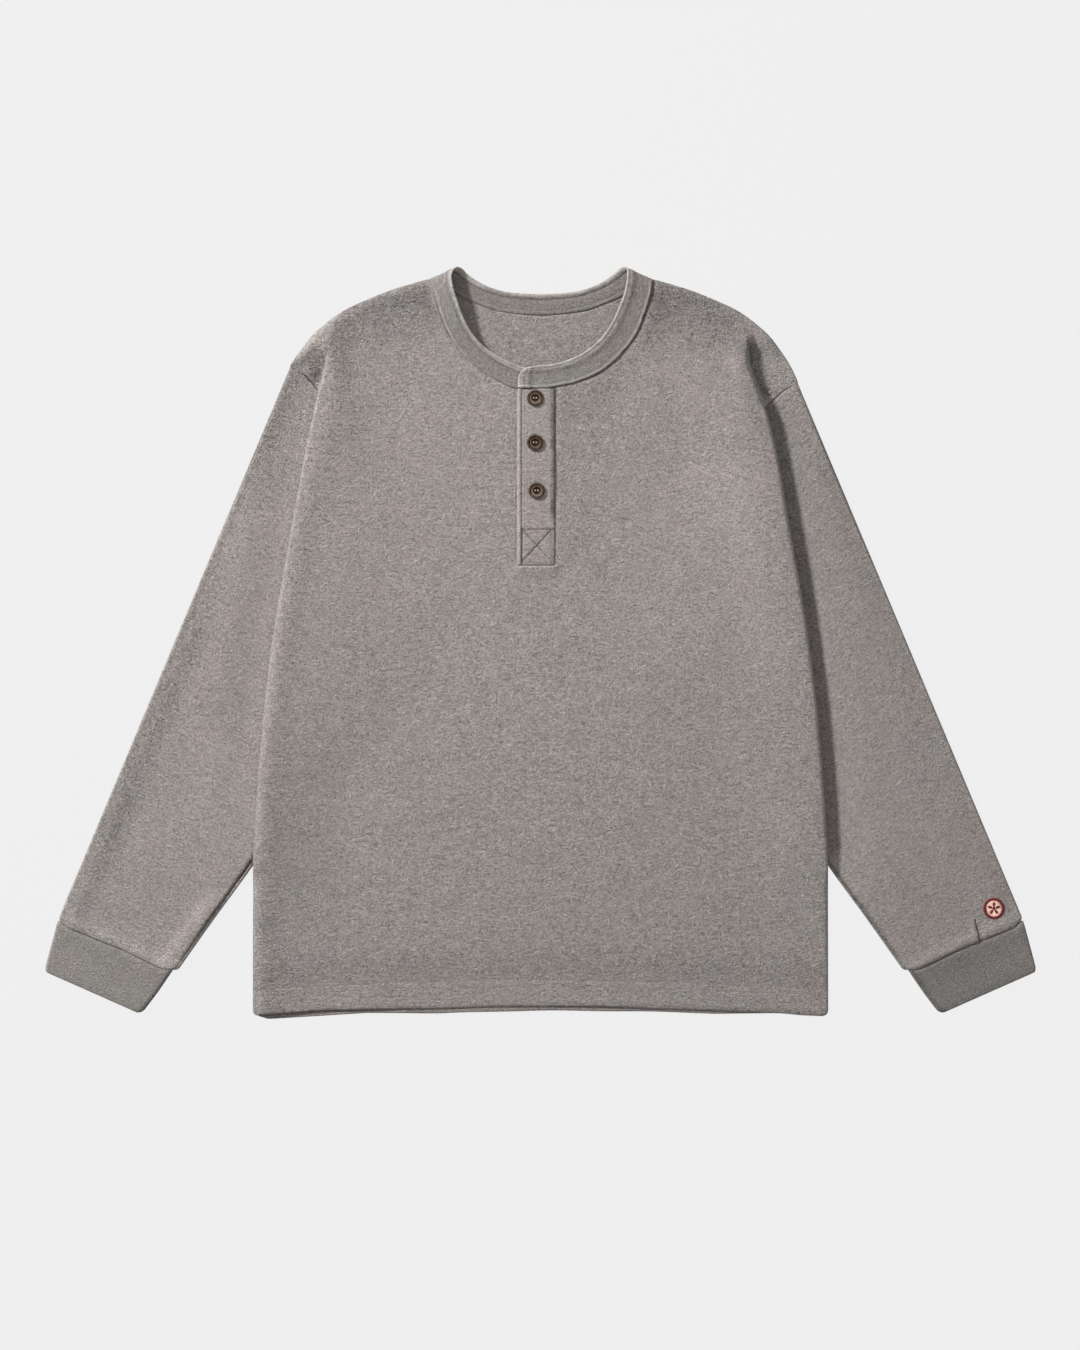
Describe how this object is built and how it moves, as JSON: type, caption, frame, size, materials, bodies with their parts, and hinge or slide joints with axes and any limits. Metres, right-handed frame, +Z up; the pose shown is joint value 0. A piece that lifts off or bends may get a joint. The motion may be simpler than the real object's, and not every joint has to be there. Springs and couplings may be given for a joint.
{
  "type": "henley shirt",
  "caption": "Long-sleeved henley shirt with a round neckband, a short buttoned placket and banded cuffs, laid flat with its arms down; it covers the upper body and arms.",
  "frame": {"origin": "middle of the shirt's outline, on the surface that it lies on", "axes": "+X across the shirt, towards the wearer's left sleeve; +Y from the hem towards the neck; +Z up from the surface, out of the front of the shirt"},
  "size_m": [0.9714, 0.7366, 0.0137],
  "materials": {
    "front_jersey": "matte mottled taupe grey heather jersey, streaked along the rows",
    "back_jersey": "matte mottled taupe grey heather jersey, streaked along the rows",
    "sleeve_left_jersey": "matte mottled taupe grey heather jersey, streaked along the rows",
    "sleeve_right_jersey": "matte mottled taupe grey heather jersey, streaked along the rows",
    "cuff_left_knit": "matte taupe grey knit, smoother and greyer than the body",
    "cuff_right_knit": "matte taupe grey knit, smoother and greyer than the body",
    "neckband_knit": "matte taupe grey knit, smoother and greyer than the body",
    "placket_under_jersey": "matte mottled taupe grey heather jersey, streaked along the rows",
    "placket_top_jersey": "matte mottled taupe grey heather jersey, streaked along the rows",
    "button_1_horn": "dark mottled brown horn-like resin, satin",
    "button_2_horn": "dark mottled brown horn-like resin, satin",
    "button_3_horn": "dark mottled brown horn-like resin, satin"
  },
  "bodies": {
    "root": {"front": "front_jersey", "back": "back_jersey", "sleeve_left": "sleeve_left_jersey", "sleeve_right": "sleeve_right_jersey", "cuff_left": "cuff_left_knit", "cuff_right": "cuff_right_knit", "neckband": "neckband_knit", "placket_under": "placket_under_jersey", "placket_top": "placket_top_jersey", "button_1": "button_1_horn", "button_2": "button_2_horn", "button_3": "button_3_horn"}
  },
  "joints": []
}
